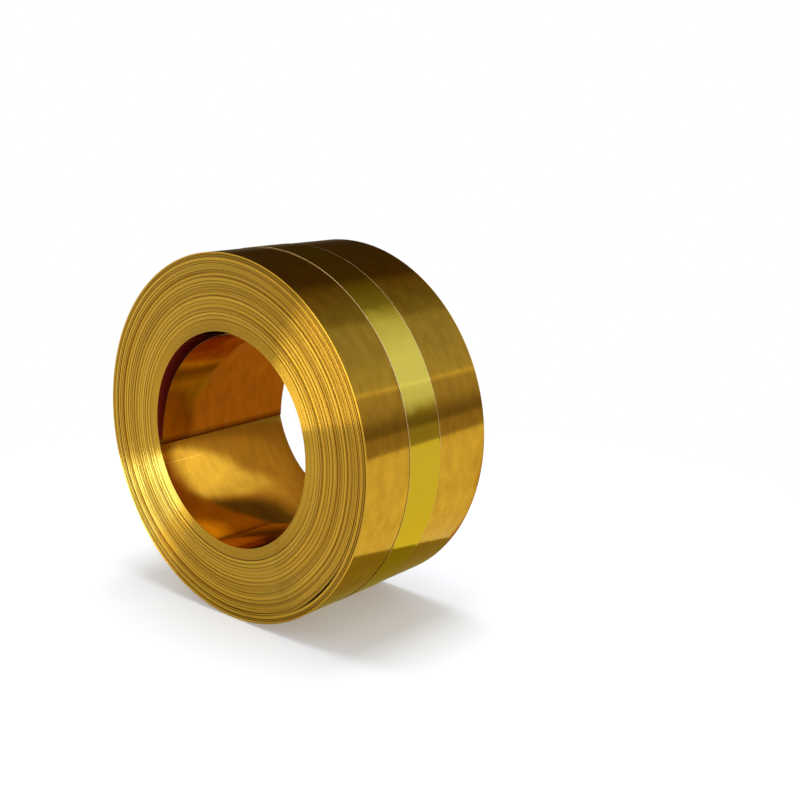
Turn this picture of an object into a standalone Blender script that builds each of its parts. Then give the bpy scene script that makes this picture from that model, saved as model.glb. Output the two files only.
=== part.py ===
"""Roll of brass strip, lying on its curved side with its bore along Y.

One long strip is wound on itself into a ring. Its innermost turn has sprung off the wall of the
bore and shows its cut end, its outermost turns stand a little apart low on one side, its outer end
lies as a step across the roll behind, and a band of tape goes once round the middle. Metres, +Z up,
the origin on the ground under the roll. Angles go from +X over +Z, as seen from the -Y end.
"""
import math

import bmesh
import bpy
from mathutils import Vector

# The roll
STRIP_WIDTH = 0.200
STRIP_THICKNESS = 0.0008
BORE_DIAMETER = 0.250
WINDING_BUILD = 0.089

# The turns, which show on the ends as flat rings that stand in and out of each other
TURN_GROUPS = 17
GROUP_WAVER = 0.30
GROUP_WAVER_STEP = 2.3
GROUP_WAVER_START = 0.7
TELESCOPE = 0.0008
TELESCOPE_STEPS = (2.1, 0.9)

# The sprung inner turn, from where it leaves the wall of the bore to its cut end
INNER_TURN_ROOT = math.radians(82)
INNER_TURN_END = math.radians(192)
INNER_TURN_BULGE = 0.0110
INNER_TURN_END_GAP = 0.0035
INNER_TURN_INSET = 0.0020

# The gap behind the outermost turns
OUTER_TURNS_DEPTH = 0.0100
OUTER_GAP_WIDTH = 0.0018
OUTER_GAP_START = math.radians(-64)
OUTER_GAP_END = math.radians(-26)

# The strip's outer end, a step as high as the strip is thick
OUTER_END_ASKED = math.radians(218)

# The band of tape
BAND_WIDTH = 0.052
BAND_THICKNESS = 0.0005
BAND_CLEARANCE = 0.0003
BAND_OFFSET = -0.0065

# Colours are linear red, green and blue
BRASS_COLOUR = (0.62, 0.36, 0.06)
BRASS_ROUGHNESS = 0.22
TAPE_COLOUR = (0.62, 0.52, 0.12)
TAPE_ROUGHNESS = 0.20

FACETS = 72
# A corner of the roll's facets closer to an end than this share of a facet is left out
CORNER_MARGIN = 0.25
CUT_MARGIN = 0.010
WELD = 0.00001
SMOOTH_ANGLE = math.radians(35)

BORE_RADIUS = BORE_DIAMETER / 2
ROLL_RADIUS = BORE_RADIUS + WINDING_BUILD
BAND_OUTER_RADIUS = ROLL_RADIUS + BAND_CLEARANCE + BAND_THICKNESS
AXIS_HEIGHT = BAND_OUTER_RADIUS
FACET_ANGLE = 2 * math.pi / FACETS
# The outer end lies on the facets' nearest corner; a facet is lowest, centred under the axis
OUTER_END = (round(OUTER_END_ASKED / FACET_ANGLE - 0.5) + 0.5) * FACET_ANGLE
# Corners stand out by this factor, so that the flats between them touch the true radius
CORNER_FACTOR = 1 / math.cos(FACET_ANGLE / 2)


def clear_scene():
    """Remove the objects that the opened file holds."""
    for item in list(bpy.data.objects):
        bpy.data.objects.remove(item, do_unlink=True)


def make_material(name, colour, metallic, roughness):
    """A Principled material with the piece's own colour and gloss."""
    material = bpy.data.materials.new(name)
    material.use_nodes = True
    shader = material.node_tree.nodes["Principled BSDF"]
    shader.inputs["Base Color"].default_value = (*colour, 1.0)
    shader.inputs["Metallic"].default_value = metallic
    shader.inputs["Roughness"].default_value = roughness
    return material


def make_object(name, mesh_builder, material):
    """Turn a bmesh into a named, smooth shaded object."""
    bmesh.ops.recalc_face_normals(mesh_builder, faces=mesh_builder.faces)
    mesh = bpy.data.meshes.new(name)
    mesh_builder.to_mesh(mesh)
    mesh_builder.free()
    mesh.shade_smooth()
    mesh.set_sharp_from_angle(angle=SMOOTH_ANGLE)
    mesh.materials.append(material)
    item = bpy.data.objects.new(name, mesh)
    bpy.context.scene.collection.objects.link(item)
    return item


def place(radius, angle, y):
    """The point at a radius and an angle round the roll's axis; angles go from +X over +Z."""
    return Vector((radius * math.cos(angle), y, AXIS_HEIGHT + radius * math.sin(angle)))


def turn(profile, start):
    """Spin a closed profile of (radius, y) points once round the axis, from its start angle.

    Returns the bmesh with its first and last ring of points, which lie on each other, unwelded.
    """
    builder = bmesh.new()
    first = [builder.verts.new(place(r * CORNER_FACTOR, start, y)) for r, y in profile]
    edges = [builder.edges.new((a, b)) for a, b in zip(first, first[1:] + first[:1])]
    made = bmesh.ops.spin(
        builder,
        geom=first + edges,
        cent=(0.0, 0.0, AXIS_HEIGHT),
        axis=(0.0, -1.0, 0.0),
        angle=2 * math.pi,
        steps=FACETS,
        use_merge=False,
    )
    last = [g for g in made["geom_last"] if isinstance(g, bmesh.types.BMVert)]
    return builder, first, last


def wind_outer_turn(builder, first, last):
    """Let the outermost surface sink by one strip thickness over its turn, and close the step."""
    rim = [v for v in builder.verts if polar(v.co)[0] > ROLL_RADIUS * CORNER_FACTOR - WELD]
    heads = [v for v in first if v in rim]
    for vert in rim:
        part_turn = (polar(vert.co)[1] - OUTER_END) % (2 * math.pi) / (2 * math.pi)
        if vert in heads:
            part_turn = 0.0
        if vert in last:
            part_turn = 1.0
        radius = (ROLL_RADIUS - STRIP_THICKNESS * part_turn) * CORNER_FACTOR
        vert.co = place(radius, polar(vert.co)[1], vert.co.y)
    for head in heads:
        spoke = next(e for e in head.link_edges if e.is_boundary and e.other_vert(head) not in heads)
        length = polar(head.co)[0] - polar(spoke.other_vert(head).co)[0]
        bmesh.utils.edge_split(spoke, head, STRIP_THICKNESS * CORNER_FACTOR / length)
    bmesh.ops.remove_doubles(builder, verts=builder.verts, dist=WELD)
    bmesh.ops.holes_fill(builder, edges=[e for e in builder.edges if e.is_boundary])


def polar(point):
    """Radius and angle of a point round the roll's axis."""
    return math.hypot(point.x, point.z - AXIS_HEIGHT), math.atan2(point.z - AXIS_HEIGHT, point.x)


def bar(name, sections, near, far, material):
    """A bar along Y: its section is a ring of points (radius, angle) in order."""
    builder = bmesh.new()
    ring = [builder.verts.new(place(r * CORNER_FACTOR, angle, near)) for r, angle in sections]
    face = builder.faces.new(ring)
    made = bmesh.ops.extrude_face_region(builder, geom=[face])
    moved = [g for g in made["geom"] if isinstance(g, bmesh.types.BMVert)]
    bmesh.ops.translate(builder, verts=moved, vec=(0.0, far - near, 0.0))
    return make_object(name, builder, material)


def guide(item):
    """Keep an object that only shapes another one out of the model."""
    item.hide_render = True
    item.display_type = "WIRE"
    return item


def combine(item, other, operation):
    """Add a Boolean modifier that joins the other shape on or cuts it away."""
    modifier = item.modifiers.new(other.name, "BOOLEAN")
    modifier.operation = operation
    modifier.solver = "EXACT"
    modifier.object = guide(other)


def group_rings():
    """Inner radius, outer radius and shift along Y of each group of turns, from the bore out.

    The groups waver in width, and the outermost turns are one more group of their own depth.
    """
    phases = [GROUP_WAVER_START + GROUP_WAVER_STEP * i for i in range(TURN_GROUPS)]
    weights = [1 + GROUP_WAVER * math.sin(phase) for phase in phases]
    share = (WINDING_BUILD - OUTER_TURNS_DEPTH) / sum(weights)
    widths = [share * weight for weight in weights] + [OUTER_TURNS_DEPTH]
    rings = []
    inner = BORE_RADIUS
    for i, width in enumerate(widths):
        shift = TELESCOPE * math.sin(TELESCOPE_STEPS[0] * i) * math.cos(TELESCOPE_STEPS[1] * i)
        rings.append((inner, inner + width, shift))
        inner += width
    return rings


def roll_profile():
    """The roll's section: up the near end ring by ring and back down the far end."""
    rings = group_rings()
    near = []
    for inner, outer, shift in rings:
        near += [(inner, shift - STRIP_WIDTH / 2), (outer, shift - STRIP_WIDTH / 2)]
    far = [(radius, y + STRIP_WIDTH) for radius, y in near]
    return near + far[::-1]


def facet_corners(start, end):
    """Angles from start to end, with every corner of the roll's facets between them."""
    first = math.ceil(start / FACET_ANGLE - 0.5 + CORNER_MARGIN)
    last = math.floor(end / FACET_ANGLE - 0.5 - CORNER_MARGIN)
    return [start] + [(k + 0.5) * FACET_ANGLE for k in range(first, last + 1)] + [end]


def inner_turn_lift(angle):
    """How far the sprung turn stands off the wall: a bow from its root that drops to its cut end.

    Before its root the turn lies two thicknesses deep in the wall.
    """
    u = (angle - INNER_TURN_ROOT) / (INNER_TURN_END - INNER_TURN_ROOT)
    if u <= 0:
        return -2 * STRIP_THICKNESS
    return INNER_TURN_BULGE * math.sin(math.pi * u) + INNER_TURN_END_GAP * u


def make_inner_turn(material):
    """The sprung inner turn, rooted in the wall of the bore."""
    angles = facet_corners(INNER_TURN_ROOT - 2 * FACET_ANGLE, INNER_TURN_END)
    outside = [(BORE_RADIUS - inner_turn_lift(a), a) for a in angles]
    inside = [(radius - STRIP_THICKNESS, a) for radius, a in outside]
    reach = STRIP_WIDTH / 2 - INNER_TURN_INSET
    return bar("inner_turn", outside + inside[::-1], -reach, reach, material)


def make_outer_gap(material):
    """The sickle of air behind the outermost turns, from end to end of the roll."""
    angles = facet_corners(OUTER_GAP_START, OUTER_GAP_END)
    middle = ROLL_RADIUS - OUTER_TURNS_DEPTH
    span = OUTER_GAP_END - OUTER_GAP_START
    half = [OUTER_GAP_WIDTH / 2 * math.sin(math.pi * (a - OUTER_GAP_START) / span) for a in angles]
    outside = [(middle + h, a) for h, a in zip(half, angles)]
    inside = [(middle - h, a) for h, a in zip(half, angles)][1:-1]
    reach = STRIP_WIDTH / 2 + TELESCOPE + CUT_MARGIN
    return bar("outer_gap", outside + inside[::-1], -reach, reach, material)


def make_roll(material):
    """The wound strip: one turned solid, its sprung inner turn, the gap and the outer end."""
    builder, first, last = turn(roll_profile(), OUTER_END)
    wind_outer_turn(builder, first, last)
    roll = make_object("brass_strip", builder, material)
    combine(roll, make_inner_turn(material), "UNION")
    combine(roll, make_outer_gap(material), "DIFFERENCE")
    return roll


def make_band(material):
    """The band of tape: a thin ring laid round the roll."""
    near = BAND_OFFSET - BAND_WIDTH / 2
    far = BAND_OFFSET + BAND_WIDTH / 2
    inner = ROLL_RADIUS + BAND_CLEARANCE
    profile = [(inner, near), (BAND_OUTER_RADIUS, near), (BAND_OUTER_RADIUS, far), (inner, far)]
    builder, first, last = turn(profile, OUTER_END)
    bmesh.ops.remove_doubles(builder, verts=builder.verts, dist=WELD)
    return make_object("tape_band", builder, material)


def main():
    """Build the roll and its band."""
    clear_scene()
    brass = make_material("rolled_brass", BRASS_COLOUR, 1.0, BRASS_ROUGHNESS)
    tape = make_material("tape", TAPE_COLOUR, 0.0, TAPE_ROUGHNESS)
    make_roll(brass)
    make_band(tape)


main()
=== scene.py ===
"""Looks of the roll of brass strip: the strip wound turn by turn, the tape band, their finishes.

Metres, +Z up. The roll lies on its curved side with its bore along Y. Angles go round the roll's
axis from +X over +Z, as seen from the -Y end, which is the end that faces the camera. A place along
the strip is given in turns from its inner end, which grow as the angle falls.
"""
import math

import bpy
import numpy as np
from mathutils import Matrix, Vector


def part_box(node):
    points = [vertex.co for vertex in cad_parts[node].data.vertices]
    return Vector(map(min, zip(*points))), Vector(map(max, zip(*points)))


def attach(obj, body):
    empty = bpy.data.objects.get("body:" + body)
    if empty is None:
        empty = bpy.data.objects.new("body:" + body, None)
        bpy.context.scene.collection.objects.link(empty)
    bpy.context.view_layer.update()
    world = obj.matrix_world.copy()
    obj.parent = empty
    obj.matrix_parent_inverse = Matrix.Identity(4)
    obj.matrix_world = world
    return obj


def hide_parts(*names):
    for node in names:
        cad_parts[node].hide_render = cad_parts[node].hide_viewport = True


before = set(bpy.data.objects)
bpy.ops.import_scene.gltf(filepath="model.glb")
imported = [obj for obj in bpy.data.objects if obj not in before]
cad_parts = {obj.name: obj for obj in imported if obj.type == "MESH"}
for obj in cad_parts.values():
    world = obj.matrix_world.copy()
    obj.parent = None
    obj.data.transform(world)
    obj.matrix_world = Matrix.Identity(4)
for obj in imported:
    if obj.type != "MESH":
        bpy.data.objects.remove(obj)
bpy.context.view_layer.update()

# The roll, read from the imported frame
STRIP_LOW, STRIP_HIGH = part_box("brass_strip")
BAND_LOW, BAND_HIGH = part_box("tape_band")
AXIS_HEIGHT = BAND_HIGH[2] / 2
BAND_RADIUS = BAND_HIGH[0]
BAND_MIDDLE = (BAND_LOW[1] + BAND_HIGH[1]) / 2
BAND_HALF = (BAND_HIGH[1] - BAND_LOW[1]) / 2
NEAR_PEAK = STRIP_LOW[1]
FAR_PEAK = STRIP_HIGH[1]

# The strip and its winding, as in the model's source
STRIP_WIDTH = 0.200
STRIP_THICKNESS = 0.0008
ROLL_RADIUS = 0.214
BORE_RADIUS = 0.125
OUTER_END = math.radians(217.5)

# The sprung first stretch: where it leaves the wall of the bore, over which angle, where its cut
# end is, and how far it bows inwards
INNER_ROOT = math.radians(82)
LEAVING_ANGLE = math.radians(9)
INNER_END = math.radians(192)
INNER_BULGE = 0.0110
# Gap between the cut end and the wall, at the near and at the far side
INNER_END_GAPS = (0.0045, 0.0004)
# The last of the first stretch curls back to the wall by this much, from this share of it on
INNER_CURL = 0.0045
CURL_START = 0.75

FULL_TURN = 2 * math.pi
INNER_FACE_RADIUS = BORE_RADIUS - STRIP_THICKNESS / 2
END_FRACTION = ((INNER_END - OUTER_END) / FULL_TURN) % 1
TURNS = round((ROLL_RADIUS - INNER_FACE_RADIUS) / STRIP_THICKNESS - 1 - END_FRACTION) + END_FRACTION
PITCH = (ROLL_RADIUS - STRIP_THICKNESS - INNER_FACE_RADIUS) / TURNS
SPRUNG_TURNS = (INNER_END - INNER_ROOT) / FULL_TURN

# Air between two turns, and the air of all the loose places together, shared out over the turns
TURN_AIR = 0.00003
LOOSE_AIR = 0.0065
# Loose places between the turns, in degrees and mm: middle, half the reach, radius, width
LOOSE_PLACES = (
    (-45, 21, 204.2, 2.4),
    (20, 170, 209.5, 0.25),
    (230, 150, 201.0, 0.45),
    (25, 160, 198.6, 0.35),
    (40, 120, 194.5, 0.45),
    (215, 170, 191.6, 0.45),
    (30, 150, 186.8, 0.50),
    (60, 110, 182.3, 0.35),
    (225, 150, 178.4, 0.45),
    (20, 130, 175.6, 0.50),
    (240, 120, 171.0, 0.35),
    (35, 160, 165.3, 0.50),
    (210, 140, 163.0, 0.50),
    (25, 120, 157.8, 0.55),
    (200, 160, 154.5, 0.45),
    (40, 150, 150.0, 0.55),
    (230, 120, 145.6, 0.40),
    (15, 140, 142.0, 0.45),
    (250, 140, 139.4, 0.80),
)

# Groups of turns wound level with each other: the first one's size and the range of the others'
INNER_GROUP = 17
GROUP_SIZES = (3, 7)
MARKS_SEED = 7
# Marks run on past the last turn, because a place reads its own turn's mark and the next one's
SPARE_TURNS = 4
# How many of the last marks, the spare ones among them, are fully worn
LAST_GROUP = 8
# How far along Y a group stands in or out, a turn that parts two groups stands back, and a turn wavers
GROUP_SHIFT = 0.0006
PARTING_SHIFT = 0.0010
PARTING_DEPTHS = (0.3, 1.0)
WAVER_SHIFT = 0.00008
# Waves of the slow waver along the strip: radians a turn, and where each starts
WAVER_WAVES = ((5.3, 0.0), (14.9, 1.0))
# Darkening of the edges from 0 to 1: grime of a group, of a turn and of the first group, and
# painted shade of the parting turns
GROUP_DIRT = (0.10, 0.30)
TURN_DIRT = (0.0, 0.14)
FIRST_DIRT, FIRST_DIRT_SHARE = 0.42, 0.1
PARTING_SHADE, PARTING_SHADE_DEPTH = 0.35, 0.40
GROUP_WEAR = (0.3, 0.9)
# Where a turn counts as begun, and the share of a turn over which its marks change
TURN_START = 0.217
CHANGE_SHARE = 0.12
# Painted shade on the edges and the cut end of the sprung stretch, which fades over this share of a turn
SPRUNG_SHADE = 0.55
SPRUNG_SHADE_FADE = 0.04
# Shares of a turn over which the painted shade in the gap starts: at its root and behind the cut end
GAP_SHADE_FADE = 0.03
GAP_SHADE_START = 0.01

# Section of a slit edge: share of the thickness, how far a sharp edge is set back, and a worn one
EDGE_SECTION = (
    (0.0, 0.00010, 0.00030),
    (0.06, 0.00003, 0.00024),
    (0.44, 0.0, 0.00002),
    (0.56, 0.0, 0.00002),
    (0.94, 0.00003, 0.00024),
    (1.0, 0.00010, 0.00030),
)
# The rows of a face stop this far short of its edges, so that they clear the worn slit edges
EDGE_MARGIN = 0.0008
# Edges of a mesh sharper than this are drawn sharp
STRIP_SHARP_ANGLE = math.radians(80)
TAPE_SHARP_ANGLE = math.radians(50)

# Hollows and swells of the sheet: share of the height, waves round, waves across, start
SHEET_WAVES = ((1.0, 3, 2.1, 0.0), (0.6, 7, -3.4, 1.0), (0.4, 11, 5.0, 0.0))
INNER_WAVE = 0.00012
OUTER_WAVE = 0.00004

# The stretches that the strip is built in: turns of the inner and the outer one, and how many lie
# between; then their points along the strip, and the rows on a smooth and on a plain face
INNER_TURNS = 1.35
OUTER_TURNS = 1.04
MIDDLE_STRETCHES = 4
INNER_COLUMNS = 560
OUTER_COLUMNS = 480
COLUMNS_A_TURN = 144
SMOOTH_ROWS = 36
PLAIN_ROWS = 3

# The tape: the lip along its edges, the air under it, the film, and how high the lip rises
TAPE_LIP = 0.0011
TAPE_SEAT = 0.00003
TAPE_FILM = 0.00022
TAPE_RISE = 0.00006
# Profile of a lip: shares of its width and of its rise
LIP_PROFILE = ((0.0, 0.0), (0.15, 0.8), (0.5, 1.0), (0.85, 0.7), (1.0, 0.15))
TAPE_ROWS = 18
TAPE_COLUMNS = 721
# Where in its turn the tape starts to come down and over how much of it, and by which share of the
# strip's thickness
TAPE_FALL_START, TAPE_FALL_REACH, TAPE_FALL = 0.02, 0.9, 0.5
# Waves of the film: height, waves round, radians a metre across
TAPE_WAVE = (0.00004, 5, 40)

# A scratch across the wall of the bore: turns from the inner end, width, and where it ends along Y
SCRATCH_TURN = 0.9694
SCRATCH_WIDTH = 0.0005
SCRATCH_END = -0.041

# Sockets of a Mix node that mixes colours
MIX_A, MIX_B, MIX_RESULT = 6, 7, 2

# Painted highlight on the film, paler and less metallic, by the angle up from the right, in degrees
SHEEN_STOPS = (
    (12.5, 0.0),
    (15, 0.55),
    (18, 0.95),
    (22, 1.0),
    (30, 0.95),
    (38, 0.60),
    (44, 0.36),
    (47.5, 0.05),
    (54, 0.0),
)
# The whole reach of these angles in degrees, and how far the painted highlight wavers in radians
SHEEN_SPAN = 90
SHEEN_WAVER = 0.02
# Painted highlight along the film's cut edges: full up to the first distance from them and gone
# from the second on
RIM_HIGHLIGHT_REACH = (0.0003, 0.0007)

# The camera: the middle of the near end is seen at this pixel of the 800 x 800 picture
PICTURE_SIZE = 800
NEAR_MIDDLE_PIXEL = (226.7, 441.4)
FOCAL_PIXELS = 1137.7
CAMERA_DEPTH = 1.287
CAMERA_AZIMUTH = math.radians(40.4)
CAMERA_PITCH = math.radians(13.2)
SENSOR = 36.0

# The light that the world and the lamp give the object
WORLD_LIGHT = 0.62
LAMP_PLACE = (0.03, 0.04, 1.5)
LAMP_SIZE = 0.95
LAMP_POWER = 18.0

# The floor: its half size, its glow where it is looked at, and the distances over which it whitens
FLOOR_HALF = 40.0
FLOOR_LIFT = 0.24
FLOOR_FADE = (0.32, 0.9)

# Screens of the studio that only the metal's shine shows are hidden from these kinds of light path
SHINE_ONLY = ("camera", "diffuse", "shadow", "transmission")

# The tunnel. Shades by the angle of the roll's outer surface that mirrors them to the camera
TUNNEL_RADIUS = 1.15
TUNNEL_HALF_LENGTH = 3.2
TUNNEL_COLUMNS = 121
TUNNEL_ROWS = 3
TUNNEL_CLEARANCE = 0.001
TUNNEL_RANGE = (-30.0, 230.0)
VIEW_ROUND_AXIS = 19.8
BACK_SHADES = (
    (104.0, "#6E6A62"),
    (92.0, "#3A2E20"),
    (64.0, "#463A2C"),
    (60.0, "#685C50"),
    (54.0, "#75706C"),
    (46.5, "#87888C"),
    (44.5, "#A6ACC0"),
    (34.0, "#B0B6D4"),
    (23.2, "#C2C6E0"),
    (22.9, "#FFFFFF"),
    (22.2, "#FFFFFF"),
    (21.9, "#BAB6C8"),
    (17.0, "#B2AEBC"),
    (14.5, "#A49CA4"),
    (12.0, "#877C80"),
    (9.2, "#766A68"),
    (8.2, "#A39895"),
    (2.5, "#A39895"),
)
# Glow of the tunnel's front, and where along Y the front goes over into the back
FRONT_SHADE = 0.74
FRONT_FADE = (0.35, 0.55)

# The card behind the bore, a half disc: its radius, how much less that is on the left, and from
# which angle on and over which; how far it is dropped, and its place along Y
CARD_RADIUS = 0.262
CARD_CUT = 0.024
CARD_CUT_START = math.radians(80)
CARD_CUT_REACH = math.radians(25)
CARD_DROP = 0.008
CARD_Y = 0.20
CARD_COLUMNS = 91
CARD_ROWS = 61
# Steps of its bright band, from left to right: start, reach and glow
CARD_STEPS = ((-0.075, 0.05, 0.43), (-0.02, 0.09, 0.40), (0.10, 0.10, 0.25))

# Glowing sheets on the floor: name, colour, height, corners
FLOOR_SHEETS = (
    ("grey_cloth", "#F6F6F4", 0.001, ((-1.1, -2.6), (1.1, -2.6), (1.1, 1.2), (-1.1, 1.2))),
    # Painted shadow of the roll on the floor under its right flank, seen only in the metal's shine
    (
        "flank_shadow_sheet",
        "#938B4E",
        0.002,
        ((-0.15, -0.13), (0.225, -0.13), (0.225, -0.01), (0.152, 0.19), (-0.15, 0.19)),
    ),
    # Painted reflection: a dark brown that the bore mirrors in place of the floor behind the roll
    (
        "brown_reflection_sheet",
        "#B07A50",
        0.002,
        (
            (-0.45, 0.19),
            (0.155, 0.19),
            (0.225, 0.253),
            (0.295, 0.31),
            (0.44, 0.46),
            (0.60, 0.69),
            (0.50, 1.0),
            (-0.45, 1.0),
        ),
    ),
)

# Corners of the front softbox, as the x and z parts of the direction to each, and its distance
SOFTBOX_CORNERS = ((0.111, -0.025), (0.505, 0.081), (-0.166, 0.817), (-0.324, 0.461))
SOFTBOX_DISTANCE = 2.2
SOFTBOX_GLOW = 3.7
SOFTBOX_COLOUR = "#FFFDFA"
# Corners of the cool screen close in front, as x and z from the axis, and its distance from the end
COOL_CORNERS = ((-0.112, -0.050), (0.036, 0.012), (-0.074, 0.150), (-0.168, 0.025))
COOL_DISTANCE = 0.4
COOL_COLOUR = "#90B0FF"
# The screen's parts: from and to which share of the way up it they reach, and their glow
COOL_PARTS = ((0.0, 0.30, 27.0), (0.30, 0.97, 16.0))
# The flag between the screen and the right half of the end: its place along X, its lowest and
# highest place from the axis, and how far it stays clear of the end and of the screen
FLAG_X = 0.055
FLAG_HEIGHTS = (-0.20, 0.17)
FLAG_CLEARANCE = 0.02


def linear(hex_colour):
    """An sRGB hex colour as linear red, green, blue and alpha."""
    parts = [int(hex_colour[i : i + 2], 16) / 255 for i in (1, 3, 5)]
    return tuple(c / 12.92 if c <= 0.04045 else ((c + 0.055) / 1.055) ** 2.4 for c in parts) + (1.0,)


# Shapes


def ease(x):
    """Smooth step: nothing below 0, one above 1, and level at both ends."""
    x = np.clip(x, 0.0, 1.0)
    return x * x * (3 - 2 * x)


def winding_angle(turns):
    """Angle round the roll at a place along the strip."""
    return INNER_END - FULL_TURN * turns


def hump(angle, middle, reach):
    """A smooth bump of height one round an angle: a squared cosine, gone at its reach."""
    away = (angle - middle + math.pi) % FULL_TURN - math.pi
    return np.where(np.abs(away) < reach, np.cos(away / reach * math.pi / 2) ** 2, 0.0)


def winding_radius(turns, share_across):
    """Radius of the strip's inner face along the winding; the share across is 0 near and 1 far.

    It grows by one pitch a turn. The first stretch bows inwards off the wall and drops back to its
    cut end, which lies closer to the wall at the far side. Each loose place pushes the turns
    outside it outwards by its width at both ends, and by nothing in the middle; all the turns give
    way evenly, so that the bore and the outer surface keep their size.
    """
    angle = winding_angle(turns)
    radius = INNER_FACE_RADIUS + PITCH * turns
    along = np.clip((angle - INNER_ROOT) / (INNER_END - INNER_ROOT), 0.0, 1.0)
    end_gap = INNER_END_GAPS[0] + (INNER_END_GAPS[1] - INNER_END_GAPS[0]) * share_across
    lift = INNER_BULGE * np.sin(math.pi * along) + (end_gap + INNER_CURL) * along
    lift = lift - INNER_CURL * np.clip((along - CURL_START) / (1 - CURL_START), 0.0, 1.0) ** 2
    leaving = ease((angle - INNER_ROOT) / LEAVING_ANGLE)
    radius = radius - np.where(turns < SPRUNG_TURNS, lift * leaving, 0.0)
    given_way = np.clip((turns - SPRUNG_TURNS) / (TURNS - SPRUNG_TURNS), 0.0, 1.0)
    at_the_ends = np.abs(2 * share_across - 1)
    for middle, reach, gap_radius, width in LOOSE_PLACES:
        opposite = ((INNER_END - math.radians(middle)) / FULL_TURN + 0.5) % 1
        edge = round((gap_radius / 1000 - INNER_FACE_RADIUS) / PITCH - opposite) + opposite
        open_by = width / 1000 * hump(angle, math.radians(middle), math.radians(reach)) * at_the_ends
        radius = radius + open_by * ((turns > edge) - given_way)
    return radius


def winding_marks():
    """Three values for each turn: how far it stands back along Y, and the darkening and the wear of
    its edges, both from 0 to 1.

    Groups of turns are wound level with each other. The turn that parts two groups stands back, is
    darkened by painted shade and has sharp edges, as has its neighbour. Elsewhere the darkening is
    grime. The first group is the widest and most worn.
    """
    random = np.random.default_rng(MARKS_SEED)
    count = int(TURNS) + SPARE_TURNS
    number = np.arange(count)
    ends = INNER_GROUP + np.cumsum(np.insert(random.integers(*GROUP_SIZES, count), 0, 0))
    group = np.searchsorted(ends, number, side="right")
    first = (np.diff(group, prepend=0) > 0) & (number > 0)
    depth = random.uniform(*PARTING_DEPTHS, count)
    group_shift = GROUP_SHIFT * random.uniform(-1.0, 1.0, count)[group]
    shift = group_shift + random.normal(0.0, WAVER_SHIFT, count)
    shift = shift + np.where(first, depth * PARTING_SHIFT, 0.0)
    parting = first | np.roll(first, 1)
    own = random.uniform(*GROUP_DIRT, count)[group] + random.uniform(*TURN_DIRT, count)
    # The parting turns are darkened by painted shade, the more the deeper they are
    dirt_and_shade = np.where(parting, PARTING_SHADE + PARTING_SHADE_DEPTH * depth, own)
    dirt_and_shade = np.where(group == 0, FIRST_DIRT + FIRST_DIRT_SHARE * own, dirt_and_shade)
    wear = np.where(parting, 0.0, random.uniform(*GROUP_WEAR, count)[group])
    wear = np.where(group == 0, 1.0, wear)
    wear[-LAST_GROUP:] = 1.0
    return shift, dirt_and_shade, wear


def along_turns(values, turns):
    """Each turn's own value all the way round, eased over to the next turn's near the bottom."""
    place = turns + TURN_START
    number = np.floor(place).astype(int)
    share = ease((place - number - 1 + CHANGE_SHARE) / CHANGE_SHARE)
    return values[number] * (1 - share) + values[number + 1] * share


def end_shift(turns, shifts):
    """How far the strip stands out along Y: its turn's own shift and a slow waver along the strip.

    The waver is a sum of sines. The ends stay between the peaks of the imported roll.
    """
    waver = WAVER_SHIFT * sum(np.sin(rate * turns + start) for rate, start in WAVER_WAVES)
    shift = along_turns(shifts, turns) + waver
    return np.clip(shift, NEAR_PEAK + STRIP_WIDTH / 2, FAR_PEAK - STRIP_WIDTH / 2)


def gap_walls(turns, across):
    """One on both walls of the gap behind the sprung first stretch, where painted shade goes, and
    nothing elsewhere.
    """
    outer_face = ease((SPRUNG_TURNS - turns) / GAP_SHADE_FADE)
    wall_behind = ease((turns - 1.0) / GAP_SHADE_START) * ease((1.0 + SPRUNG_TURNS - turns) / GAP_SHADE_FADE)
    return np.where(across > 0.5, outer_face, wall_behind)


def surface_waves(turns, y, height):
    """Gentle hollows and swells of the thin sheet: three sine waves that run across each other."""
    angle = winding_angle(turns)
    widths = y / STRIP_WIDTH
    waves = sum(
        share * np.sin(waves_round * angle + waves_across * widths + start)
        for share, waves_round, waves_across, start in SHEET_WAVES
    )
    return height * waves


def edge_rows(count):
    """Places across the strip from -1 to 1: even rows that stop short of the slit edges."""
    reach = 1 - EDGE_MARGIN / (STRIP_WIDTH / 2)
    return np.linspace(-reach, reach, count)


def strip_section(rows):
    """The strip's section: share of the thickness, place along Y, set-back of a sharp and a worn edge.

    It runs up the inner face by the asked rows, round the far slit edge, down the outer face, and
    round the near slit edge. Also returned: which of its faces are slit edge.
    """
    half = STRIP_WIDTH / 2
    inner = [(0.0, y * half, 0.0, 0.0) for y in rows]
    far_edge = [(share, half, -sharp, -worn) for share, sharp, worn in EDGE_SECTION]
    outer = [(1.0, y * half, 0.0, 0.0) for y in rows[::-1]]
    near_edge = [(share, -half, sharp, worn) for share, sharp, worn in EDGE_SECTION[::-1]]
    face = [0] * len(rows)
    slit = [1] * (len(EDGE_SECTION) - 1) + [0]
    return np.array(inner + far_edge + outer + near_edge), np.array(face + slit + face + slit)


def round_axis(radius, angle, y):
    """Points at a radius and an angle round the roll's axis, and at a place along it."""
    radius, angle, y = np.broadcast_arrays(radius, angle, y)
    return np.stack([radius * np.cos(angle), y, AXIS_HEIGHT + radius * np.sin(angle)], axis=-1)


def swept_faces(columns, ring, turned=False):
    """Quads between the columns of a closed section of some points, and a cap on either end.

    Turned, all of them face the other way.
    """
    column, place = np.meshgrid(np.arange(columns - 1), np.arange(ring), indexing="ij")
    here = column * ring + place
    over = column * ring + (place + 1) % ring
    quads = np.stack([here, over, over + ring, here + ring], axis=-1).reshape(-1, 4)
    first = np.arange(ring)
    caps = [first[::-1].tolist(), (first + (columns - 1) * ring).tolist()]
    if turned:
        quads = quads[:, [0, 3, 2, 1]]
        caps = [cap[::-1] for cap in caps]
    return quads.tolist() + caps


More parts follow.
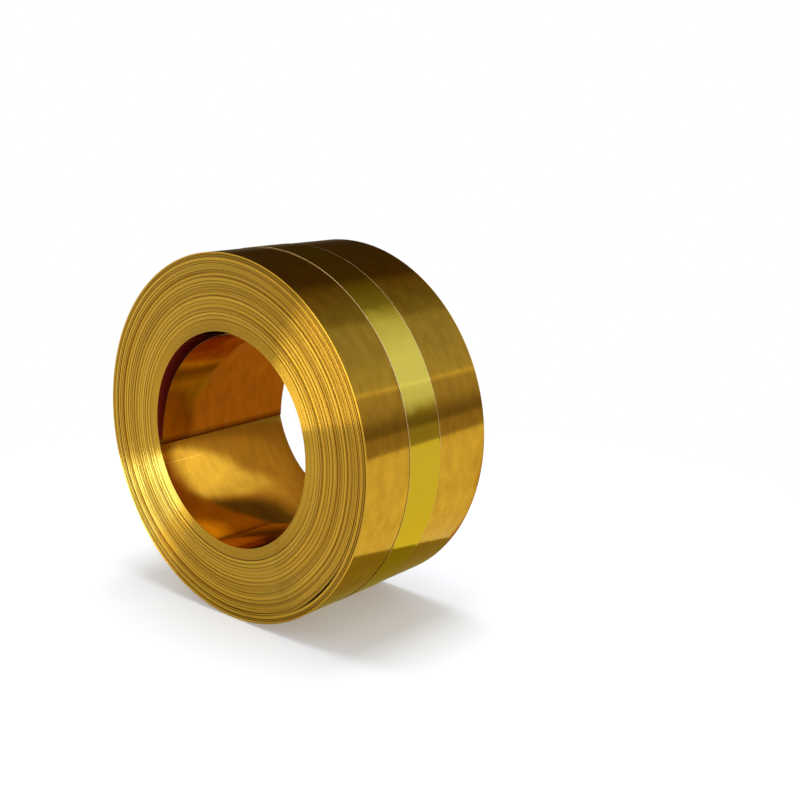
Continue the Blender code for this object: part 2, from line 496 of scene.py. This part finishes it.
def sheet_faces(columns, rows):
    """Quads of an open sheet of columns by rows of points."""
    column, row = np.meshgrid(np.arange(columns - 1), np.arange(rows - 1), indexing="ij")
    here = column * rows + row
    return np.stack([here, here + 1, here + rows + 1, here + rows], axis=-1).reshape(-1, 4).tolist()


def make_mesh(name, points, faces, materials, kinds=None, sharp_angle=None):
    """A smooth shaded object at the origin; kinds are the numbers of its faces' materials."""
    mesh = bpy.data.meshes.new(name)
    mesh.from_pydata(points.reshape(-1, 3).tolist(), [], faces)
    for material in materials:
        mesh.materials.append(material)
    if kinds is not None:
        mesh.polygons.foreach_set("material_index", np.asarray(kinds, dtype=np.int32))
    mesh.shade_smooth()
    if sharp_angle:
        mesh.set_sharp_from_angle(angle=sharp_angle)
    mesh.update()
    item = bpy.data.objects.new(name, mesh)
    bpy.context.scene.collection.objects.link(item)
    return item


def add_strip_map(item, lengths, widths):
    """A UV map in metres: along the strip, and across its width."""
    mesh = item.data
    layer = mesh.uv_layers.new(name="strip")
    corner = np.empty(len(mesh.loops), dtype=np.int32)
    mesh.loops.foreach_get("vertex_index", corner)
    lengths, widths = np.broadcast_arrays(lengths, widths)
    flat = np.stack([lengths.ravel()[corner], widths.ravel()[corner]], axis=1)
    layer.data.foreach_set("uv", flat.astype(np.float32).ravel())


def add_attribute(item, name, values):
    """A value at each point, for the material to read."""
    attribute = item.data.attributes.new(name, "FLOAT", "POINT")
    attribute.data.foreach_set("value", values.astype(np.float32).ravel())


def wound_strip(name, start, end, columns, rows, wave, materials):
    """A stretch of the strip as one closed solid: its section carried along the winding.

    The section's shares of the thickness add to the winding's radius. The rows are places across
    the strip, from -1 to 1, and the wave is the height of the sheet's hollows and swells.
    """
    turns = np.linspace(start, end, columns)[:, None]
    thickness = PITCH - TURN_AIR - LOOSE_AIR / TURNS
    section, on_edge = strip_section(rows)
    across, along, sharp_back, worn_back = section.T[:, None, :]
    shifts, dirts_and_shades, wears = winding_marks()
    # The half of an edge that faces outwards is less worn than the other half
    wear = along_turns(wears, turns)
    wear = np.where(across > 0.5, wear**2, wear)
    y = along + sharp_back * (1 - wear) + worn_back * wear + end_shift(turns, shifts)
    radius = winding_radius(turns, along / STRIP_WIDTH + 0.5)
    radius = radius + thickness * across + surface_waves(turns, along, wave)
    points = round_axis(radius, winding_angle(turns), y)
    kinds = np.concatenate([np.tile(on_edge, columns - 1), [1, 1]])
    faces = swept_faces(columns, len(section))
    item = make_mesh(name, points, faces, materials, kinds, STRIP_SHARP_ANGLE)
    add_strip_map(item, turns * FULL_TURN * winding_radius(turns, 0.5), y)
    # Grime of the turns' edges, plus painted shade on the sprung stretch's edges and cut end
    dirt_and_shade = along_turns(dirts_and_shades, turns) + SPRUNG_SHADE * ease((SPRUNG_TURNS - turns) / SPRUNG_SHADE_FADE)
    add_attribute(item, "dirt_and_shade", dirt_and_shade + 0.0 * across)
    # Painted shade: one on the walls of the gap behind the sprung stretch
    add_attribute(item, "gap_shade", gap_walls(turns, across))
    return item


def tape_ring(name, material):
    """The band of tape: a thin ring whose section has a slightly raised lip along each edge.

    The ring starts over the strip's outer end and comes down by half the strip's thickness in its
    turn, as the strip under it comes down by all of it, so its two ends meet in a small step. Low
    sine waves run round it.
    """
    near, far = BAND_LOW[1], BAND_HIGH[1]
    side, rise = np.array(LIP_PROFILE).T * [[TAPE_LIP], [TAPE_RISE]]
    middle = np.linspace(near + 2 * TAPE_LIP, far - 2 * TAPE_LIP, TAPE_ROWS)
    top_y = np.concatenate([near + side, middle, far - side[::-1]])
    top_height = np.concatenate([rise, np.zeros(TAPE_ROWS), rise[::-1]]) + TAPE_SEAT + TAPE_FILM
    y = np.concatenate([top_y, [far, near]])[None, :]
    height = np.concatenate([top_height, [TAPE_SEAT, TAPE_SEAT]])[None, :]
    part = np.linspace(0.0, 1.0, TAPE_COLUMNS)[:, None]
    angle = OUTER_END + FULL_TURN * part
    fall = TAPE_FALL * STRIP_THICKNESS * ease((part - TAPE_FALL_START) / TAPE_FALL_REACH)
    wave_height, waves_round, waves_across = TAPE_WAVE
    wave = wave_height * np.sin(waves_round * angle + waves_across * y)
    radius = np.minimum(ROLL_RADIUS - fall + height + wave, BAND_RADIUS)
    faces = swept_faces(TAPE_COLUMNS, y.shape[1], turned=True)
    item = make_mesh(name, round_axis(radius, angle, y), faces, [material], None, TAPE_SHARP_ANGLE)
    add_strip_map(item, angle * ROLL_RADIUS, y)
    return item


# Materials


def add(tree, kind, settings=(), links=()):
    """Add a node with its settings; links are (input, source socket) pairs.

    An input goes by its name, or by its number where several have the same name.
    """
    node = tree.nodes.new(kind)
    for key, value in dict(settings).items():
        if isinstance(key, int) or key in node.inputs:
            node.inputs[key].default_value = value
        else:
            setattr(node, key, value)
    for key, source in links:
        tree.links.new(source, node.inputs[key])
    return node


def new_material(name, settings):
    """A material with a Principled shader and its plain settings."""
    material = bpy.data.materials.new(name)
    material.use_nodes = True
    tree = material.node_tree
    shader = tree.nodes["Principled BSDF"]
    for key, value in settings.items():
        shader.inputs[key].default_value = value
    return material, tree, shader


def strip_place(tree):
    """The place on the strip's own map in metres: X along the strip, Y across it."""
    place = add(tree, "ShaderNodeUVMap", {"uv_map": "strip"})
    return add(tree, "ShaderNodeSeparateXYZ", {}, [("Vector", place.outputs["UV"])])


def strip_pattern(tree, across_mm, along_mm, detail):
    """Noise on the strip's own map, whose marks have these sizes in mm."""
    place = add(tree, "ShaderNodeUVMap", {"uv_map": "strip"})
    scale = (1000 / along_mm, 1000 / across_mm, 1.0)
    mapped = add(tree, "ShaderNodeMapping", {"Scale": scale}, [("Vector", place.outputs["UV"])])
    settings = {"Scale": 1.0, "Detail": detail}
    return add(tree, "ShaderNodeTexNoise", settings, [("Vector", mapped.outputs["Vector"])])


def object_place(tree):
    """The place on an object in metres, and its angle round the roll's axis: the arc tangent of the
    height over the axis and X."""
    place = add(tree, "ShaderNodeTexCoord")
    parts = add(tree, "ShaderNodeSeparateXYZ", {}, [("Vector", place.outputs["Object"])])
    above = add(
        tree, "ShaderNodeMath", {"operation": "SUBTRACT", 1: AXIS_HEIGHT}, [(0, parts.outputs["Z"])]
    )
    angle = add(
        tree,
        "ShaderNodeMath",
        {"operation": "ARCTAN2"},
        [(0, above.outputs[0]), (1, parts.outputs["X"])],
    )
    return parts, angle


def fill_ramp(ramp, stops):
    """Give a colour ramp its stops: rising places from 0 to 1, and their colours.

    A new ramp has two stops, which take the first two places; the others are added.
    """
    for i, (place, colour) in enumerate(stops):
        stop = ramp.elements[i] if i < 2 else ramp.elements.new(place)
        stop.position = place
        stop.color = colour


def scratch(tree):
    """One where the scratch in the bore is: a thin line from the near edge inwards, else nothing."""
    length = SCRATCH_TURN * FULL_TURN * float(winding_radius(np.array([SCRATCH_TURN]), 0.5)[0])
    parts = strip_place(tree)
    on_line = add(
        tree,
        "ShaderNodeMath",
        {"operation": "COMPARE", 1: length, 2: SCRATCH_WIDTH / 2},
        [(0, parts.outputs["X"])],
    )
    near = add(
        tree, "ShaderNodeMath", {"operation": "LESS_THAN", 1: SCRATCH_END}, [(0, parts.outputs["Y"])]
    )
    return add(
        tree,
        "ShaderNodeMath",
        {"operation": "MULTIPLY"},
        [(0, on_line.outputs[0]), (1, near.outputs[0])],
    )


def rolled_brass():
    """Bright rolled brass: a golden mirror, faintly clouded, and streaked along the strip by the
    rolls; its cut end is darkened by a painted shadow, and the walls of the gap behind the inner
    turn are turned dark red and dull by painted shade."""
    settings = {"Metallic": 1.0, "Specular Tint": linear("#FFF0C8")}
    material, tree, shader = new_material("rolled_brass", settings)
    streaks = strip_pattern(tree, across_mm=0.6, along_mm=60.0, detail=4.0)
    rough = add(
        tree,
        "ShaderNodeMapRange",
        {"From Min": 0.3, "From Max": 0.7, "To Min": 0.07, "To Max": 0.15},
        [("Value", streaks.outputs["Fac"])],
    )
    tree.links.new(rough.outputs["Result"], shader.inputs["Roughness"])
    bump = add(
        tree,
        "ShaderNodeBump",
        {"Strength": 0.05, "Distance": 0.0002},
        [("Height", streaks.outputs["Fac"])],
    )
    tree.links.new(bump.outputs["Normal"], shader.inputs["Normal"])
    clouds = strip_pattern(tree, across_mm=14.0, along_mm=30.0, detail=6.0)
    cloudy = add(
        tree,
        "ShaderNodeMapRange",
        {"From Min": 0.3, "From Max": 0.7},
        [("Value", clouds.outputs["Fac"])],
    )
    clouded = add(
        tree,
        "ShaderNodeMix",
        {"data_type": "RGBA", MIX_A: linear("#D8A62F"), MIX_B: linear("#C29228")},
        [("Factor", cloudy.outputs["Result"])],
    )
    scratched = add(
        tree,
        "ShaderNodeMix",
        {"data_type": "RGBA", MIX_B: linear("#F4C858")},
        [("Factor", scratch(tree).outputs[0]), (MIX_A, clouded.outputs[MIX_RESULT])],
    )
    # Painted shadow under the cut end: the strip turns dark brown over its first 9 mm from the inner end
    cut_end_shadow = add(
        tree,
        "ShaderNodeMapRange",
        {"From Min": 0.001, "From Max": 0.009, "To Min": 0.85, "To Max": 0.0},
        [("Value", strip_place(tree).outputs["X"])],
    )
    shadowed = add(
        tree,
        "ShaderNodeMix",
        {"data_type": "RGBA", MIX_B: linear("#4E220A")},
        [("Factor", cut_end_shadow.outputs["Result"]), (MIX_A, scratched.outputs[MIX_RESULT])],
    )
    # Painted shade in the gap behind the sprung stretch: its walls turn dark red and nearly unmetallic
    gap_shade = add(tree, "ShaderNodeAttribute", {"attribute_name": "gap_shade"})
    gap_shaded = add(
        tree,
        "ShaderNodeMix",
        {"data_type": "RGBA", MIX_B: linear("#8A2A1C")},
        [("Factor", gap_shade.outputs["Fac"]), (MIX_A, shadowed.outputs[MIX_RESULT])],
    )
    tree.links.new(gap_shaded.outputs[MIX_RESULT], shader.inputs["Base Color"])
    shine = add(
        tree,
        "ShaderNodeMapRange",
        {"To Min": 1.0, "To Max": 0.1},
        [("Value", gap_shade.outputs["Fac"])],
    )
    tree.links.new(shine.outputs["Result"], shader.inputs["Metallic"])
    return material


def slit_edge():
    """Slit brass edge: sheared and paler than the faces; grime darkens some turns, and painted shade
    darkens the turns that stand back and the sprung stretch.
    """
    material, tree, shader = new_material("slit_brass_edge", {"Metallic": 1.0, "Roughness": 0.13})
    # Grime, and painted shade on the parting turns and on the sprung stretch
    dirt_and_shade = add(tree, "ShaderNodeAttribute", {"attribute_name": "dirt_and_shade"})
    patches = strip_pattern(tree, across_mm=400.0, along_mm=160.0, detail=2.0)
    uneven = add(
        tree,
        "ShaderNodeMapRange",
        {"From Min": 0.35, "From Max": 0.65, "To Min": -0.08, "To Max": 0.08},
        [("Value", patches.outputs["Fac"])],
    )
    amount = add(
        tree,
        "ShaderNodeMath",
        {"operation": "ADD", "use_clamp": True},
        [(0, dirt_and_shade.outputs["Fac"]), (1, uneven.outputs["Result"])],
    )
    tint = add(
        tree,
        "ShaderNodeMix",
        {"data_type": "RGBA", MIX_A: linear("#F3C442"), MIX_B: linear("#4E2E0E")},
        [("Factor", amount.outputs[0])],
    )
    tree.links.new(tint.outputs[MIX_RESULT], shader.inputs["Base Color"])
    return material


def tape_sheen_paint(tree):
    """How strong the film's painted highlight is, from 0 to 1, and its place: 0 at the height of the
    axis on the right and below, and 1 from the top on."""
    angle = object_place(tree)[1]
    clouds = strip_pattern(tree, across_mm=30.0, along_mm=30.0, detail=2.0)
    waver = add(
        tree,
        "ShaderNodeMapRange",
        {"From Min": 0.3, "From Max": 0.7, "To Min": -SHEEN_WAVER, "To Max": SHEEN_WAVER},
        [("Value", clouds.outputs["Fac"])],
    )
    wavy = add(
        tree,
        "ShaderNodeMath",
        {"operation": "ADD"},
        [(0, angle.outputs[0]), (1, waver.outputs["Result"])],
    )
    share = add(
        tree,
        "ShaderNodeMapRange",
        {"From Min": 0.0, "From Max": math.radians(SHEEN_SPAN)},
        [("Value", wavy.outputs[0])],
    )
    ramp = add(tree, "ShaderNodeValToRGB", {}, [("Fac", share.outputs["Result"])])
    stops = [(degrees / SHEEN_SPAN, (amount, amount, amount, 1.0)) for degrees, amount in SHEEN_STOPS]
    fill_ramp(ramp.color_ramp, stops)
    return ramp.outputs["Color"], share.outputs["Result"]


def tape_rim_highlight(tree, share):
    """Painted highlight: one on the film's cut edges and nothing further in; weaker low on the right."""
    off_middle = add(
        tree,
        "ShaderNodeMath",
        {"operation": "SUBTRACT", 1: BAND_MIDDLE},
        [(0, strip_place(tree).outputs["Y"])],
    )
    aside = add(tree, "ShaderNodeMath", {"operation": "ABSOLUTE"}, [(0, off_middle.outputs[0])])
    rim_highlight = add(
        tree,
        "ShaderNodeMapRange",
        {"From Min": BAND_HALF - RIM_HIGHLIGHT_REACH[1], "From Max": BAND_HALF - RIM_HIGHLIGHT_REACH[0]},
        [("Value", aside.outputs[0])],
    )
    high = add(
        tree,
        "ShaderNodeMapRange",
        {"From Min": -0.05, "From Max": 0.12, "To Min": 0.10, "To Max": 1.0},
        [("Value", share)],
    )
    return add(
        tree,
        "ShaderNodeMath",
        {"operation": "MULTIPLY"},
        [(0, rim_highlight.outputs["Result"]), (1, high.outputs["Result"])],
    )


def film_tape():
    """Clear yellow film tape on the brass: the metal's shine under a smooth glossy coat, with a painted
    highlight on the upper right, where the film is paler and less metallic, and another painted
    highlight along its cut edges."""
    settings = {"Roughness": 0.09, "Coat Weight": 0.06, "Coat Roughness": 0.04}
    settings["Specular Tint"] = linear("#FFF0B0")
    material, tree, shader = new_material("film_tape", settings)
    # Painted highlight on the upper right of the film
    painted_sheen, share = tape_sheen_paint(tree)
    rim_highlight = tape_rim_highlight(tree, share)
    tint = add(
        tree,
        "ShaderNodeMix",
        {"data_type": "RGBA", MIX_A: linear("#CCAC26"), MIX_B: linear("#E2CF4E")},
        [("Factor", painted_sheen)],
    )
    # Painted highlight along the cut edges: a paler colour, and less metal further down
    pale = add(
        tree,
        "ShaderNodeMix",
        {"data_type": "RGBA", MIX_B: linear("#F6E4B0")},
        [("Factor", rim_highlight.outputs[0]), (MIX_A, tint.outputs[MIX_RESULT])],
    )
    tree.links.new(pale.outputs[MIX_RESULT], shader.inputs["Base Color"])
    metal = add(tree, "ShaderNodeMapRange", {"To Min": 1.0, "To Max": 0.38}, [("Value", painted_sheen)])
    dull = add(tree, "ShaderNodeMapRange", {"To Min": 1.0, "To Max": 0.55}, [("Value", rim_highlight.outputs[0])])
    shine = add(
        tree,
        "ShaderNodeMath",
        {"operation": "MULTIPLY"},
        [(0, metal.outputs["Result"]), (1, dull.outputs["Result"])],
    )
    tree.links.new(shine.outputs[0], shader.inputs["Metallic"])
    return material


# Studio


def background_shader(tree, plain, seen):
    """Mix a plain shader with one that only camera, glossy and transmission rays see."""
    path = add(tree, "ShaderNodeLightPath")
    glossy = add(
        tree,
        "ShaderNodeMath",
        {"operation": "MAXIMUM"},
        [(0, path.outputs["Is Camera Ray"]), (1, path.outputs["Is Glossy Ray"])],
    )
    either = add(
        tree,
        "ShaderNodeMath",
        {"operation": "MAXIMUM"},
        [(0, glossy.outputs[0]), (1, path.outputs["Is Transmission Ray"])],
    )
    return add(tree, "ShaderNodeMixShader", {}, [(0, either.outputs[0]), (1, plain), (2, seen)])


def make_world():
    """A white studio all round, which lights the floor and the roll at a plain level."""
    world = bpy.data.worlds.new("studio")
    bpy.context.scene.world = world
    world.use_nodes = True
    tree = world.node_tree
    tree.nodes.clear()
    white = linear("#FFFFFF")
    plain = add(tree, "ShaderNodeBackground", {"Color": white, "Strength": WORLD_LIGHT})
    seen = add(tree, "ShaderNodeBackground", {"Color": white, "Strength": 1.0})
    mix = background_shader(tree, plain.outputs[0], seen.outputs[0])
    add(tree, "ShaderNodeOutputWorld", {}, [("Surface", mix.outputs[0])])


def make_lamp():
    """A square softbox that shines straight down on the roll and gives it its shadow."""
    lamp = bpy.data.lights.new("overhead_softbox", "AREA")
    lamp.shape = "SQUARE"
    lamp.size = LAMP_SIZE
    lamp.energy = LAMP_POWER
    item = bpy.data.objects.new("overhead_softbox", lamp)
    item.location = LAMP_PLACE
    item.visible_glossy = False
    bpy.context.scene.collection.objects.link(item)


def flat_sheet(name, corners, material):
    """A flat staged sheet through its corners."""
    mesh = bpy.data.meshes.new(name)
    mesh.from_pydata(corners, [], [tuple(range(len(corners)))])
    mesh.materials.append(material)
    item = bpy.data.objects.new(name, mesh)
    bpy.context.scene.collection.objects.link(item)
    return item


def make_floor():
    """The pale floor: matte round the roll, where it keeps the shadow, and white further off.

    What is looked at or mirrored gets a lift to white; the light on the roll comes from the matte.
    """
    material = bpy.data.materials.new("floor_paint")
    material.use_nodes = True
    tree = material.node_tree
    tree.nodes.clear()
    matte = add(tree, "ShaderNodeBsdfDiffuse", {"Color": linear("#E2E7ED")})
    lift = add(tree, "ShaderNodeEmission", {"Strength": FLOOR_LIFT})
    near = add(tree, "ShaderNodeAddShader", {}, [(0, matte.outputs[0]), (1, lift.outputs[0])])
    place = add(tree, "ShaderNodeTexCoord")
    away = add(
        tree, "ShaderNodeVectorMath", {"operation": "LENGTH"}, [(0, place.outputs["Object"])]
    )
    far_share = add(
        tree,
        "ShaderNodeMapRange",
        {"interpolation_type": "SMOOTHSTEP", "From Min": FLOOR_FADE[0], "From Max": FLOOR_FADE[1]},
        [("Value", away.outputs["Value"])],
    )
    white = add(tree, "ShaderNodeEmission", {"Strength": 1.0})
    looked_at = add(
        tree,
        "ShaderNodeMixShader",
        {},
        [(0, far_share.outputs["Result"]), (1, near.outputs[0]), (2, white.outputs[0])],
    )
    mix = background_shader(tree, matte.outputs[0], looked_at.outputs[0])
    add(tree, "ShaderNodeOutputMaterial", {}, [("Surface", mix.outputs[0])])
    corners = [(x * FLOOR_HALF, y * FLOOR_HALF, 0) for x, y in ((-1, -1), (1, -1), (1, 1), (-1, 1))]
    flat_sheet("studio_floor", corners, material)


def hide_from(item, kinds):
    """Keep a studio screen out of some kinds of light path, such as the camera's own."""
    for kind in kinds:
        setattr(item, "visible_" + kind, False)


def glow_material(name, strength, colour):
    """A plain glowing cloth."""
    material = bpy.data.materials.new(name)
    material.use_nodes = True
    tree = material.node_tree
    tree.nodes.clear()
    glow = add(tree, "ShaderNodeEmission", {"Color": linear(colour), "Strength": strength})
    add(tree, "ShaderNodeOutputMaterial", {}, [("Surface", glow.outputs[0])])
    return material, tree, glow


def make_card(name, corners, strength, colour=SOFTBOX_COLOUR):
    """A flat card that only the metal's shine shows."""
    card = flat_sheet(name, corners, glow_material(name + "_cloth", strength, colour)[0])
    hide_from(card, SHINE_ONLY)


def mirrored_place(roll_angle):
    """Where on the tunnel the camera sees its mirror image in the roll's outer surface.

    A ray that meets the roll at an angle a leaves it at 2 a - v round the roll's axis, where v is
    the view's own angle, and reaches the tunnel a little earlier, as it starts off the axis.
    """
    leaves = 2 * roll_angle - VIEW_ROUND_AXIS
    sideways = ROLL_RADIUS / TUNNEL_RADIUS * math.sin(math.radians(leaves - roll_angle))
    return leaves - math.degrees(math.asin(sideways))


def tunnel_cloth():
    """The tunnel's cloth: an even front and a back whose shades run round the roll's axis."""
    material, tree, glow = glow_material("tunnel_cloth", 1.0, "#FFFFFF")
    parts, angle = object_place(tree)
    start, end = TUNNEL_RANGE
    share = add(
        tree,
        "ShaderNodeMapRange",
        {"From Min": math.radians(start), "From Max": math.radians(end)},
        [("Value", angle.outputs[0])],
    )
    ramp = add(tree, "ShaderNodeValToRGB", {}, [("Fac", share.outputs["Result"])])
    places = [(mirrored_place(degrees) - start) / (end - start) for degrees, _ in BACK_SHADES]
    colours = [linear(shade) for _, shade in BACK_SHADES]
    fill_ramp(ramp.color_ramp, sorted(zip(places, colours)))
    back = add(
        tree,
        "ShaderNodeMapRange",
        {"From Min": FRONT_FADE[0], "From Max": FRONT_FADE[1]},
        [("Value", parts.outputs["Y"])],
    )
    mix = add(
        tree,
        "ShaderNodeMix",
        {"data_type": "RGBA", MIX_A: (FRONT_SHADE, FRONT_SHADE, FRONT_SHADE, 1.0)},
        [("Factor", back.outputs["Result"]), (MIX_B, ramp.outputs["Color"])],
    )
    tree.links.new(mix.outputs[MIX_RESULT], glow.inputs["Color"])
    return material


def make_tunnel():
    """A grey tunnel of cloth over the roll, for the metal to mirror: its shades run round its axis.

    Behind the roll they are darkest overhead and on the left, and pale grey on the right with one
    thin bright joint, as the bands of light and shade along the roll's outer surface show. In front
    they are even.
    """
    foot = math.asin(AXIS_HEIGHT / TUNNEL_RADIUS)
    angle = np.linspace(-foot, math.pi + foot, TUNNEL_COLUMNS)[:, None]
    y = np.linspace(-TUNNEL_HALF_LENGTH, TUNNEL_HALF_LENGTH, TUNNEL_ROWS)[None, :]
    points = round_axis(TUNNEL_RADIUS, angle, y)
    points[..., 2] = np.maximum(points[..., 2], TUNNEL_CLEARANCE)
    tunnel = make_mesh("tunnel", points, sheet_faces(TUNNEL_COLUMNS, TUNNEL_ROWS), [tunnel_cloth()])
    hide_from(tunnel, SHINE_ONLY)


def bore_card_glow(x, z):
    """Glow of the bore card at places across it, with z measured from the roll's axis.

    A bright band rises from a bent lower edge and fades into the dark on the left; below it the
    card is dim, and dimmest at the height of the axis.
    """
    bend_x, bend_z, fall_right, fall_left = 0.04, 0.12, 0.33, 0.50
    right_of_bend = np.maximum(x - bend_x, 0.0)
    left_of_bend = np.maximum(bend_x - x, 0.0)
    lower_edge = bend_z - fall_right * right_of_bend - fall_left * left_of_bend
    band_fade = 0.035
    band = ease((z - lower_edge) / band_fade + 0.5)
    dark_x, dark_z, dark_lean, dark_fade = -0.12, 0.07, 0.75, 0.07
    lit = ease((x - dark_x - dark_lean * (z - dark_z)) / dark_fade + 0.5)
    dark, dimmest, dim_rise = 0.10, 0.26, 0.26
    dim_start, dim_reach = -0.005, 0.05
    dim = dimmest + dim_rise * ease((z - dim_start) / dim_reach)
    peak = 0.12 + sum(glow * ease((x - start) / reach) for start, reach, glow in CARD_STEPS)
    return dark + lit * (dim - dark + peak * band)


def make_bore_card():
    """A painted card close behind the far end, mirrored as the sheen in the bore.

    It keeps within the rays that the outer surface mirrors, so only the bore shows it. It is pinkish
    where it is dim and cool white where it is bright.
    """
    angle = np.linspace(0.0, math.pi, CARD_COLUMNS)[:, None]
    reach = CARD_RADIUS - CARD_CUT * ease((angle - CARD_CUT_START) / CARD_CUT_REACH)
    radius = reach * np.linspace(0.0, 1.0, CARD_ROWS)[None, :]
    x = radius * np.cos(angle)
    z = radius * np.sin(angle) - CARD_DROP
    points = np.stack([x, np.full_like(x, CARD_Y), z + AXIS_HEIGHT], axis=-1)
    material, tree, glow = glow_material("bore_card_cloth", 1.0, "#FFFFFF")
    paint = add(tree, "ShaderNodeAttribute", {"attribute_name": "glow"})
    tree.links.new(paint.outputs["Fac"], glow.inputs["Strength"])
    bright = add(
        tree,
        "ShaderNodeMapRange",
        {"From Min": 0.4, "From Max": 1.1},
        [("Value", paint.outputs["Fac"])],
    )
    tint = add(
        tree,
        "ShaderNodeMix",
        {"data_type": "RGBA", MIX_A: linear("#FFD6BC"), MIX_B: linear("#F6F3FF")},
        [("Factor", bright.outputs["Result"])],
    )
    tree.links.new(tint.outputs[MIX_RESULT], glow.inputs["Color"])
    card = make_mesh("bore_card", points, sheet_faces(CARD_COLUMNS, CARD_ROWS), [material])
    add_attribute(card, "glow", bore_card_glow(x, z))
    hide_from(card, SHINE_ONLY)


def make_floor_sheets():
    """Three glowing sheets on the floor, which only the metal's shine shows.

    The wide one is pale grey and lies all round. On it, the olive one under the right flank is a
    painted shadow of the roll, and the brown one behind the roll, where its bore looks down, is a
    painted reflection.
    """
    for name, colour, height, outline in FLOOR_SHEETS:
        corners = [(x, y, height) for x, y in outline]
        cloth = flat_sheet(name, corners, glow_material(name + "_mirror_glow", 1.0, colour)[0])
        hide_from(cloth, SHINE_ONLY)


def make_front_softbox():
    """A big softbox in front: the wound edges turn its image into two fans of light.

    It leans from low on the right to high on the left. Each corner lies at the softbox's distance
    from the middle of the near end, in its own direction.
    """
    corners = []
    for x, z in SOFTBOX_CORNERS:
        direction = np.array([x, -math.sqrt(1 - x * x - z * z), z])
        corners.append(direction * SOFTBOX_DISTANCE + [0.0, -STRIP_WIDTH / 2, AXIS_HEIGHT])
    make_card("front_softbox", corners, SOFTBOX_GLOW)


def make_cool_screen():
    """A cool white screen close in front, which makes the left fan paler and brighter.

    A grey flag hides it from the right half of the end, so the right fan keeps its gold. The screen
    has a brighter lower part and a softer upper one.
    """
    low_left, low_right, high_right, high_left = (np.array(corner) for corner in COOL_CORNERS)
    y = -STRIP_WIDTH / 2 - COOL_DISTANCE
    for number, (low, high, glow) in enumerate(COOL_PARTS, 1):
        part = [
            low_left + (high_left - low_left) * low,
            low_right + (high_right - low_right) * low,
            low_right + (high_right - low_right) * high,
            low_left + (high_left - low_left) * high,
        ]
        corners = [(x, y, AXIS_HEIGHT + z) for x, z in part]
        make_card(f"cool_screen_{number}", corners, glow, COOL_COLOUR)
    near, away = -STRIP_WIDTH / 2 - FLAG_CLEARANCE, y + FLAG_CLEARANCE
    low, high = (AXIS_HEIGHT + z for z in FLAG_HEIGHTS)
    flag = [(FLAG_X, near, low), (FLAG_X, away, low), (FLAG_X, away, high), (FLAG_X, near, high)]
    make_card("flag", flag, FRONT_SHADE)


def make_camera():
    """The camera stands where the middle of the near end falls on its pixel at its depth."""
    az, pitch = CAMERA_AZIMUTH, CAMERA_PITCH
    forward = Vector((-math.sin(az) * math.cos(pitch), math.cos(az) * math.cos(pitch), -math.sin(pitch)))
    right = Vector((math.cos(az), math.sin(az), 0.0))
    up = right.cross(forward)
    near_middle = Vector((0.0, -STRIP_WIDTH / 2, AXIS_HEIGHT))
    off_x, off_y = ((pixel - PICTURE_SIZE / 2) / FOCAL_PIXELS for pixel in NEAR_MIDDLE_PIXEL)
    lens = bpy.data.cameras.new("camera")
    lens.sensor_width = SENSOR
    lens.lens = SENSOR * FOCAL_PIXELS / PICTURE_SIZE
    camera = bpy.data.objects.new("camera", lens)
    place = near_middle - (forward + right * off_x - up * off_y) * CAMERA_DEPTH
    turn = Matrix((right, up, -forward)).transposed().to_4x4()
    camera.matrix_world = Matrix.Translation(place) @ turn
    bpy.context.scene.collection.objects.link(camera)
    bpy.context.scene.camera = camera


def make_roll():
    """The wound strip in stretches: the inner turn, the turns between, and the outer turn."""
    finish = [rolled_brass(), slit_edge()]
    last = TURNS - OUTER_TURNS
    smooth, plain = edge_rows(SMOOTH_ROWS), edge_rows(PLAIN_ROWS)
    pieces = [
        wound_strip("inner_turn", 0.0, INNER_TURNS, INNER_COLUMNS, smooth, INNER_WAVE, finish),
        wound_strip("outer_turn", last, TURNS, OUTER_COLUMNS, smooth, OUTER_WAVE, finish),
    ]
    joints = np.linspace(INNER_TURNS, last, MIDDLE_STRETCHES + 1)
    for number, (start, end) in enumerate(zip(joints, joints[1:]), 1):
        columns = round((end - start) * COLUMNS_A_TURN)
        pieces.append(wound_strip(f"wound_turns_{number}", start, end, columns, plain, 0.0, finish))
    for piece in pieces:
        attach(piece, "root")
        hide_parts("brass_strip")


def make_band():
    """The band of tape round the roll."""
    band = tape_ring("tape_band_film", film_tape())
    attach(band, "root")
    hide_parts("tape_band")


def main():
    """Build the looks round the frame."""
    bpy.context.scene.view_settings.view_transform = "Standard"
    make_camera()
    make_world()
    make_floor()
    make_roll()
    make_band()
    make_tunnel()
    make_bore_card()
    make_floor_sheets()
    make_front_softbox()
    make_cool_screen()
    make_lamp()


main()
